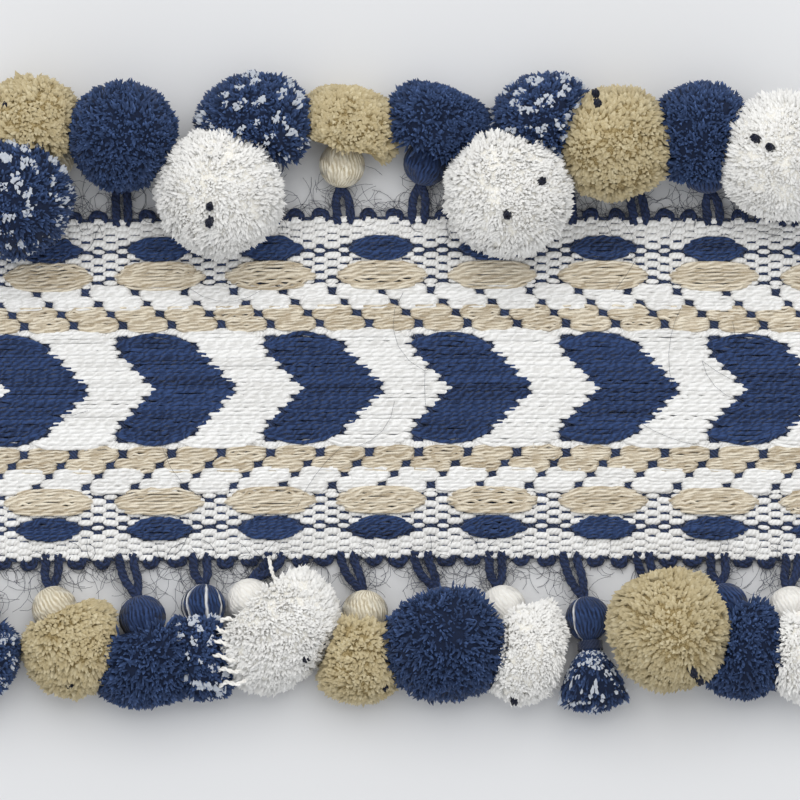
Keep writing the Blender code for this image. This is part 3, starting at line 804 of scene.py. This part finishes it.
def picots(row):
    """The small loops between the hanging ones: three strands of weft along a bow outside the edge."""
    strands = []
    for column in range(WEFTS // (2 * LOOP_EVERY)):
        for picot in range(1, LOOP_EVERY):
            x = root_point(row, column)[0] + picot * PICOT_PITCH + chance.normal(0, 0.12)
            if x + 2 > TAPE_LENGTH / 2:
                continue
            half, depth = chance.uniform(0.75, 1.05), chance.uniform(0.3, 0.75)
            edge = row.side * (TAPE_HALF_WIDTH + 0.25) + bow(x)
            # How far sideways as a share of half, how far out of the edge, and how high
            bend = ((1, -0.9, 0.6), (1.1, 0, 0.8), (0.62, depth * 0.8, 0.8))
            knots = [(x - half * wide, edge + row.side * out, z) for wide, out, z in bend]
            knots.append((x, edge + row.side * depth, 0.8))
            knots += [(x + half * wide, edge + row.side * out, z) for wide, out, z in reversed(bend)]
            strands.append(plied(smooth_path(knots, 14), PICOT_YARN, chance.random()))
    return tubes(np.concatenate(strands), PICOT_YARN.half_width, PICOT_YARN.half_width, 5)


def stray_fibres(count, centre, spread, length, radius, lift, bends=(0.12, 0.62)):
    """Fine loose hairs: arcs of random bend round chosen places. A hair turns by bend times its run."""
    stations = 6
    pick = chance.integers(0, len(centre), count)
    start = centre[pick] + chance.normal(0, 1, (count, 3)) * spread
    heading = chance.uniform(0, 2 * math.pi, count)
    long = chance.uniform(*length, count)
    bend = chance.choice([-1, 1], count) * chance.uniform(*bends, count)
    run = np.linspace(0, 1, stations) * long[:, None]
    angle = heading[:, None] + bend[:, None] * run
    step = np.diff(run, axis=1, prepend=0)
    x = start[:, :1] + np.cumsum(np.cos(angle) * step, axis=1)
    y = start[:, 1:2] + np.cumsum(np.sin(angle) * step, axis=1)
    z = start[:, 2:] + lift * run / long[:, None] * chance.normal(0, 1, (count, 1))
    paths = np.stack([x, y, np.maximum(z, 0.1)], axis=-1)
    return tubes(paths, radius, radius, 3)


EDGE_HAIRS = 800
FACE_HAIRS = 18
FACE_HAIR_HEIGHT = 2.1


def face_hairs():
    """A few long single hairs that lie loose on the figures of the tape's face."""
    place = chance.uniform((-70, -26, FACE_HAIR_HEIGHT), (62, 26, FACE_HAIR_HEIGHT), (FACE_HAIRS, 3))
    return stray_fibres(FACE_HAIRS, place, (0, 0, 0.03), (6.0, 19.0), 0.032, 0.1, (0.02, 0.13))


def finish_edges(rows):
    """Both selvedges, each with the fine dark hairs that stand off its yarns."""
    for row, solids in rows:
        skins = [hanging_legs(row, solids), picots(row)]
        for skin in skins:
            skin.points[:, 2] = np.maximum(skin.points[:, 2], 0)
        roots = np.array([root_point(row, column) for column in range(len(solids))])
        ends = np.array([loop_end(solid) for solid in solids])
        beside = [roots + (step * PICOT_PITCH, 0, 0) for step in (1, 2)]
        middles = np.concatenate([roots, (roots + ends) / 2, ends, *beside])
        skins.append(stray_fibres(EDGE_HAIRS, middles, (1.4, 0.9, 0.3), (2.0, 9.0), 0.044, 0.8))
        loops = lay_yarns(f"loops_{row.name}", skins, "loop")
        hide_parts(f"selvedge_{row.name}")


# Tassels


def lay_out(row, tassels):
    """Works out where each tassel's head, neck and skirt lie."""
    laid = []
    for column, tassel in enumerate(tassels):
        azimuth, elevation = math.radians(tassel.azimuth), math.radians(tassel.elevation)
        axis = np.array([math.cos(azimuth), math.sin(azimuth), 0]) * math.cos(elevation)
        axis[2] = math.sin(elevation)
        head = np.array([tassel.head_x, tassel.head_y, HEAD_RADIUS])
        fan = head + axis * (math.sqrt(HEAD_RADIUS**2 - NECK_RADIUS**2) + NECK_LENGTH)
        centre = fan + axis * MIDDLE_SHARE * tassel.length
        side = unit(np.cross((0, 0, 1), axis))
        laid.append(Solid(column + 1, row, tassel, head, axis, fan, centre, (side, np.cross(axis, side))))
    return laid


def wall(origin, target, radius):
    """The half space that keeps what grows from origin clear of a ball at target."""
    away = target - origin
    distance = np.linalg.norm(away)
    normal = away / distance
    return HalfSpace(normal, normal @ origin + distance - radius)


def nearest_on(start, end, point):
    """The point of a straight stretch that lies nearest to a point."""
    span = end - start
    share = np.clip((point - start) @ span / (span @ span), 0, 1)
    return start + span * share


def room_for(solid, solids):
    """The half spaces that a skirt must stay in: floor, tape, and every neighbour it could press on."""
    origin = solid.fan
    limits = [HalfSpace(np.array([0, 0, -1.0]), 0.0)]
    if solid.tassel.lies_on_tape:
        limits.append(HalfSpace(np.array([0, 0, -1.0]), -(TAPE_GROUND + FIGURES_RISE + CLEAR)))
    else:
        edge = np.array([origin[0], solid.row.side * (STRIP_REACH + PICOT_DEPTH), STRIP_TOP])
        limits.append(wall(origin, edge, 2 * CLEAR))
    for other in solids:
        loop = nearest_on(root_point(other.row, other.number - 1), loop_end(other), origin)
        limits.append(wall(origin, loop, LEG_WIDTH + CLEAR))
        if other.number == solid.number:
            continue
        limits.append(wall(origin, other.head, HEAD_RADIUS + CLEAR))
        neck = other.head + other.axis * (HEAD_RADIUS + NECK_LENGTH / 2)
        limits.append(wall(origin, neck, NECK_RADIUS + BINDING_THICKNESS + 2 * CLEAR))
        between = other.centre - solid.centre
        mine = solid.tassel.radius * solid.tassel.push
        theirs = other.tassel.radius * other.tassel.push
        room = np.linalg.norm(between) * mine / (mine + theirs) - CLEAR / 2
        limits.append(HalfSpace(unit(between), unit(between) @ solid.centre + room))
    return limits


def reach(tassel, angle):
    """The skirt's free reach from its root at an angle from its axis: a superellipse, drawn in behind."""
    ahead = np.maximum(np.cos(angle), 0) / tassel.length
    aside = np.sin(angle) / tassel.radius
    free = (ahead**DOME_POWER + aside**DOME_POWER) ** (-1 / DOME_POWER)
    behind = np.maximum(np.degrees(angle) - 90, 0)
    return free * (1 - (behind / DRAWN_IN) ** 2)


def bell(angle):
    """The narrow tassel's reach from its root: BELL_LENGTH, and past BELL_ANGLE that times
    (BELL_ANGLE / angle)^2."""
    return BELL_LENGTH * np.minimum(1, (BELL_ANGLE / np.maximum(angle, 0.1)) ** 2)


def free_reach(tassel, angle):
    """How far a skirt reaches where nothing presses on it."""
    return bell(angle) if tassel.spread < NARROW_SPREAD else reach(tassel, angle)


def clipped(origin, directions, wanted, limits, mesh=0.0):
    """How far strands can go from origin before they are mesh millimetres past one of the half spaces.

    Nothing meshes with the floor or the tape.
    """
    for limit in limits:
        approach = directions @ limit.normal
        past = mesh * (limit.normal[2] > -0.9)
        room = (limit.limit + past - limit.normal @ origin) / np.maximum(approach, 1e-6)
        wanted = np.where(approach > 1e-6, np.minimum(wanted, room), wanted)
    return wanted


def directions_about(solid, angle, turn):
    """Unit directions at an angle from the tassel's axis and a turn round it."""
    ring = circle(turn, *solid.across)
    return np.cos(angle)[..., None] * solid.axis + np.sin(angle)[..., None] * ring


def core_dome(solid, limits, share, spread):
    """The inside of a skirt: rings of points at share times its reach, turned in to the neck behind."""
    rings, sides = 14, 30
    turns = np.arange(sides) * 2 * math.pi / sides
    angle, turn = np.meshgrid(np.linspace(0.02, spread, rings), turns, indexing="ij")
    way = directions_about(solid, angle, turn)
    length = share * clipped(solid.fan, way, free_reach(solid.tassel, angle), limits)
    way, length = np.concatenate([way, way[-1:]]), np.concatenate([length, 0.25 * length[-1:]])
    points = solid.fan + way * length[..., None]
    return plain_skin(points.reshape(-1, 3), sleeve_faces(1, rings + 1, sides, turned=True))


# A pile has strands in tufts. half_width is half a strand's thickness, and gather how far it turns to its
# tuft. comb, tuft_lean and lean turn it by a wave over the skirt, with its tuft, and on its own. uneven is
# how much lengths differ, core the size of the dome inside, own_shade how far a strand has a light side of
# its own, depth how far the painted shade at its root has given way to its own colour where it is widest,
# and fleck_every says which tufts are flecks, 0 being none.
Pile = namedtuple(
    "Pile", "strands tufts half_width gather comb tuft_lean lean uneven core own_shade depth fleck_every"
)
ROOT_DEPTH = 0.12
BEHIND = 6
HOLLOW_STRANDS = 155
HOLLOW_START = 0.25
FACES_DOWN = -0.25
# How far tips reach past the plane where two skirts meet
TIPS_MESH = (-0.4, 1.6)
PILES = {
    "navy": Pile(3530, 800, 0.29, 0.25, 0.05, 0.06, 0.10, 0.028, 0.935, 1.3, 0.45, 0),
    "mixed": Pile(3530, 330, 0.29, 0.40, 0.05, 0.03, 0.09, 0.026, 0.935, 1.2, 0.45, 4),
    "beige": Pile(3630, 460, 0.42, 0.36, 0.12, 0.04, 0.05, 0.030, 0.91, 0.8, 0.80, 0),
    "cream": Pile(6430, 480, 0.31, 0.30, 0.07, 0.04, 0.05, 0.030, 0.92, 0.10, 1.0, 0),
}


def even_directions(solid, count, uneven, spread):
    """Directions over a skirt by the golden turn, at acos(1 - share (1 - cos spread)) from the axis."""
    share = (np.arange(count) + 0.5) / count
    angle = np.arccos(1 - share * (1 - math.cos(spread)))
    angle = np.clip(angle + chance.normal(0, uneven, count), 0, spread)
    return directions_about(solid, angle, GOLDEN_TURN * np.arange(count) + chance.normal(0, uneven, count))


def strand_roots(solid, pile, spread):
    """Where strands set out: even directions, fewer below, and the last HOLLOW_STRANDS of them behind.

    Those run from the neck to the rim, over the hollow there. Returns the directions, the directions of the
    tufts, and the share of its reach at which each strand starts.
    """
    narrow = solid.tassel.spread < NARROW_SPREAD
    way = even_directions(solid, pile.strands // 2 if narrow else pile.strands, 0.02, spread)
    tufts = even_directions(solid, 2 * pile.tufts if narrow else pile.tufts, 0.07, spread)
    way = way[(way[:, 2] > FACES_DOWN) | (chance.random(len(way)) < 0.35)]
    back = spread + chance.uniform(0, 0.06, HOLLOW_STRANDS)
    start = np.repeat([pile.core - ROOT_DEPTH, HOLLOW_START], [len(way), HOLLOW_STRANDS])
    behind = directions_about(solid, back, chance.uniform(0, 2 * math.pi, HOLLOW_STRANDS))
    return np.concatenate([way, behind]), tufts, start


def skirt(solid, limits):
    """The brushed out skirt: a core dome and pointed strands that gather into tufts, one for each yarn end.

    A strand's tip lies at way + gather (tuft - way) + lean, scaled to the skirt's reach in that direction.
    Returns the skins, their values, the normals and the tips.
    """
    tassel, pile = solid.tassel, PILES[solid.tassel.yarn]
    spread = math.radians(95 if tassel.spread < NARROW_SPREAD else tassel.spread + BEHIND)
    way, tufts, start = strand_roots(solid, pile, spread)
    count, down = len(way), way[:, 2] <= FACES_DOWN
    tuft = np.argmax(way @ tufts.T, axis=1)
    flecks = np.zeros(len(tufts))
    if pile.fleck_every:
        flecks[:: pile.fleck_every] = 1
    flecks = flecks[tuft] * (chance.random(count) > 0.2)
    gather = pile.gather + 0.15 * flecks[:, None]
    comb = pile.comb * np.sin(way @ chance.normal(0, 3, (3, 3)) + chance.uniform(0, 6, 3))
    lean = comb + chance.normal(0, pile.tuft_lean, tufts.shape)[tuft]
    lean = lean + (1 - 0.5 * flecks[:, None]) * chance.normal(0, pile.lean, way.shape)
    tip_way = unit(way + gather * (tufts[tuft] - way) + lean)
    angle = np.arccos(np.clip(tip_way @ solid.axis, -1, 1))
    uneven = chance.normal(0, pile.uneven, len(tufts))[tuft] + chance.normal(0, 0.5 * pile.uneven, count)
    wanted = free_reach(tassel, np.minimum(angle, spread)) * (1 + uneven)
    mesh = chance.uniform(*TIPS_MESH, count)
    tips = solid.fan + tip_way * clipped(solid.fan, tip_way, wanted, limits, mesh)[:, None]
    length = clipped(solid.fan, way, free_reach(tassel, np.arccos(way @ solid.axis)), limits)
    roots = solid.fan + way * (length * start)[:, None]
    thick = pile.half_width * chance.uniform(0.75, 1.25, count) * np.where(down, 1.5, 1)
    thick = thick * (1 + 0.35 * flecks)
    strands = spindles(roots, tips, thick)
    strands.points[:, 2] = np.maximum(strands.points[:, 2], 0)
    core = core_dome(solid, limits, pile.core, spread)
    tone = 0.3 * chance.random(len(tufts))[tuft] + 0.7 * chance.random(count) ** 3
    # Painted shade: the core dome takes 0 for every value and so shows only the root's painted shade, and
    # along a strand tip runs from 0 at the root, painted shade, to 1 at the tip, its own colour
    blank = np.zeros(len(core.points))
    tip = np.tile([0, pile.depth, pile.depth, pile.depth, 1], count)
    values = [("tone", tone[strands.yarn]), ("tip", tip), ("fleck", flecks[strands.yarn])]
    values = [(name, np.concatenate([numbers, blank])) for name, numbers in values]
    own = unit(strands.points - ((roots + tips) / 2)[strands.yarn])
    ball = unit(np.concatenate([strands.points, core.points]) - solid.fan - 0.3 * tassel.length * solid.axis)
    own = np.concatenate([own, ball[len(own) :]])
    return [strands, core], values, unit(ball + pile.own_shade * own + (0, 0, 0.8)), tips


RIDGES = 32


def head(solid):
    """The yarn covered ball and the neck, a lathe about the tassel's axis with one ridge for each yarn.

    The radius is that of a ball down to the neck, times 0.98 + 0.03 cos(RIDGES turn). Returns the skin, with
    a tone that is low between the yarns as painted shade, and a fleck value that is 1 on a few yarns.
    """
    angles = np.radians([7, 20, 34, 48, 62, 76, 90, 104, 118, 131, 144, 155.5])
    axial = np.concatenate([-HEAD_RADIUS * np.cos(angles), [HEAD_RADIUS + 0.9, HEAD_RADIUS + 2.2]])
    radius = np.concatenate([HEAD_RADIUS * np.sin(angles), [NECK_RADIUS, NECK_RADIUS + 0.4]])
    rings, sides = len(axial), 2 * RIDGES
    turn = np.arange(sides) * math.pi / RIDGES
    drift = 0.09 * np.sin(np.arange(rings)[:, None] * 0.6 + chance.uniform(0, 6))
    drift = drift + 0.03 * chance.normal(0, 1, (rings, sides))
    ridge = 0.98 + 0.03 * np.cos(RIDGES * turn) + 0.016 * chance.normal(0, 1, sides)
    ring = circle(turn + drift, *solid.across)
    points = solid.head + axial[:, None, None] * solid.axis + (radius[:, None] * ridge)[..., None] * ring
    points[..., 2] = np.maximum(points[..., 2], 0)
    quads, caps = sleeve_faces(1, rings, sides)
    corner_uv = sleeve_uv(axial[None, :, None], np.arange(sides) / 2, 0.5)
    corner_uv = np.concatenate([corner_uv, np.zeros((caps.size, 2))])
    column = np.tile(np.arange(sides), rings)
    # Painted shade: the tone is low in the valleys between the yarns, and random from yarn to yarn on their
    # ridges
    tone = np.where(column % 2, -0.2, chance.uniform(0.2, 1.0, sides)[column])
    fleck = ((chance.random(RIDGES) < 0.2)[column // 2] & (column % 2 == 0)).astype(float)
    skin = Skin(points.reshape(-1, 3), (quads, caps), corner_uv, np.zeros(rings * sides, int))
    return skin, [("tone", tone), ("fleck", fleck)]


def binding(solid):
    """Six turns of thread round the neck, as one helix."""
    turns, stations = 6, 84
    share = np.linspace(0, 1, stations)
    middle = solid.fan - solid.axis * NECK_LENGTH / 2
    radius = NECK_RADIUS + CLEAR + 0.18
    path = middle + solid.axis * (BINDING_WIDTH * (share - 0.5))[:, None]
    path = path + radius * circle(2 * math.pi * turns * share, *solid.across)
    return tubes(path[None], THREAD_HALF, THREAD_HALF, 5, solid.axis)


def yarn_end(solid, tips, x, y):
    """A short cut end of dark yarn: it follows the strand whose tip lies nearest to x, y and highest.

    It stands a little out of the pile of a skirt that points up, and hardly shows in one that lies down.
    """
    away = np.hypot(tips[:, 0] - x, tips[:, 1] - y) - 0.25 * tips[:, 2]
    tip = tips[np.argmin(away)]
    shows = 0.7 if solid.axis[2] > 0.5 else -0.3
    path = tip + np.linspace(shows - 2.5, shows, 5)[:, None] * unit(tip - solid.fan)
    width = CUT_YARN.half_width * np.array([1, 1, 1, 0.95, 0.5])
    return tubes(plied(path, CUT_YARN), width, CUT_YARN.half_width, 6)


# Loose cream yarns beside the fifth lower tassel, each as points it runs through
LOOSE_YARNS = (
    ((-23.6, -30.4, 1.6), (-22.9, -33.5, 4.0), (-21.3, -37.0, 9.0), (-20.6, -40.0, 13.0)),
    ((-26.0, -42.2, 11.5), (-29.2, -42.0, 13.0), (-30.8, -41.4, 13.2), (-32.2, -41.8, 12.6)),
    ((-26.0, -44.4, 12.0), (-29.4, -43.6, 13.4), (-31.6, -43.8, 13.4), (-33.0, -43.0, 12.4)),
    ((-26.4, -46.4, 12.4), (-29.8, -46.6, 13.8), (-32.0, -45.6, 13.6), (-34.0, -45.6, 12.6)),
    ((-26.8, -48.2, 12.4), (-30.0, -49.0, 13.8), (-32.4, -48.0, 13.4), (-34.0, -48.4, 12.2)),
    ((-27.0, -50.0, 12.0), (-29.6, -51.0, 13.2), (-31.6, -50.4, 12.8), (-33.2, -51.0, 11.4)),
    ((-26.8, -52.0, 11.4), (-29.2, -53.2, 12.4), (-31.0, -52.8, 11.6), (-32.4, -53.6, 10.4)),
)


def loose_yarns():
    """Two plied strands along each of LOOSE_YARNS."""
    half = LOOSE_YARN.half_width
    return [tubes(plied(smooth_path(knots, 14), LOOSE_YARN), half, half, 6) for knots in LOOSE_YARNS]


def dress_tassels(row, solids, ends):
    for solid in solids:
        yarn, number = solid.tassel.yarn, f"{row.name}_{solid.number:02d}"
        skins, values, normals, tips = skirt(solid, room_for(solid, solids))
        pile = lay_mesh(f"pompom_{number}", skins, FINISHES[f"{yarn}_pile"], values, normals)
        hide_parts(f"tassel_{number}")
        ball, values = head(solid)
        lay_mesh(f"head_{number}", [ball], FINISHES[f"{yarn}_head"], values)
        pale = yarn in ("beige", "cream")
        finish, slot = ("tan_thread", "thread_yarn") if pale else ("navy_thread", "navy_yarn")
        wound = lay_yarns(f"neck_binding_{number}", [binding(solid)], finish)
        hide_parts(f"binding_{number}")
        cut = [yarn_end(solid, tips, x, y) for place, x, y in ends if place == solid.number]
        if cut:
            lay_yarns(f"yarn_ends_{number}", cut, "yarn_end")


# Stage, light and camera, in metres, watts and radians

FLOOR_HALF, FLOOR_DROP, FLOOR_COLOUR = 2.0, 0.0001, (0.74, 0.745, 0.76, 1)
SKY_COLOUR, SKY_STRENGTH = (0.96, 0.98, 1.0, 1), 0.75
LAMP_SIZE, LAMP_WATTS, LAMP_COLOUR = (1.2, 0.9), 7.0, (1.0, 0.985, 0.96)
LAMP_PLACE, LAMP_TILT = (-0.05, 0.53, 1.03), math.radians(27.5)
CAMERA_HEIGHT, SENSOR_WIDTH = 3.0, 36
FRAME_WIDTH, FRAME_MIDDLE_Y = 0.144, -0.00225


def stage():
    """A pale floor, one wide soft light from beyond the upper edge, and a long lens straight above."""
    mesh = bpy.data.meshes.new("floor")
    corners = [(-FLOOR_HALF, -FLOOR_HALF, 0), (FLOOR_HALF, -FLOOR_HALF, 0)]
    corners += [(FLOOR_HALF, FLOOR_HALF, 0), (-FLOOR_HALF, FLOOR_HALF, 0)]
    mesh.from_pydata(corners, [], [(0, 1, 2, 3)])
    finish, _, shader = blank_finish("pale floor", 1.0)
    shader.inputs["Base Color"].default_value = FLOOR_COLOUR
    mesh.materials.append(finish)
    floor = bpy.data.objects.new("floor", mesh)
    floor.location.z = -FLOOR_DROP

    world = bpy.data.worlds.new("studio")
    world.use_nodes = True
    background = world.node_tree.nodes["Background"]
    background.inputs["Color"].default_value = SKY_COLOUR
    background.inputs["Strength"].default_value = SKY_STRENGTH
    bpy.context.scene.world = world

    lamp = bpy.data.lights.new("window", "AREA")
    lamp.shape = "RECTANGLE"
    lamp.size, lamp.size_y = LAMP_SIZE
    lamp.energy = LAMP_WATTS
    lamp.color = LAMP_COLOUR
    light = bpy.data.objects.new("window", lamp)
    light.location = LAMP_PLACE
    light.rotation_euler = (-LAMP_TILT, 0, 0)

    camera = bpy.data.objects.new("camera", bpy.data.cameras.new("camera"))
    camera.location = (0, FRAME_MIDDLE_Y, CAMERA_HEIGHT)
    camera.data.sensor_width = SENSOR_WIDTH
    camera.data.lens = SENSOR_WIDTH * CAMERA_HEIGHT / FRAME_WIDTH
    for thing in (floor, light, camera):
        bpy.context.scene.collection.objects.link(thing)
    bpy.context.scene.camera = camera
    bpy.context.scene.view_settings.view_transform = "Standard"


stage()
weave_tape()
lay_yarns("loose_yarns", loose_yarns(), "cream_head")
rows = [(row, lay_out(row, tassels)) for row, tassels in zip(ROWS, (UPPER, LOWER))]
finish_edges(rows)
for (row, solids), ends in zip(rows, (UPPER_YARN_ENDS, LOWER_YARN_ENDS)):
    dress_tassels(row, solids, ends)
lay_yarns("face_hairs", [face_hairs()], "loop")
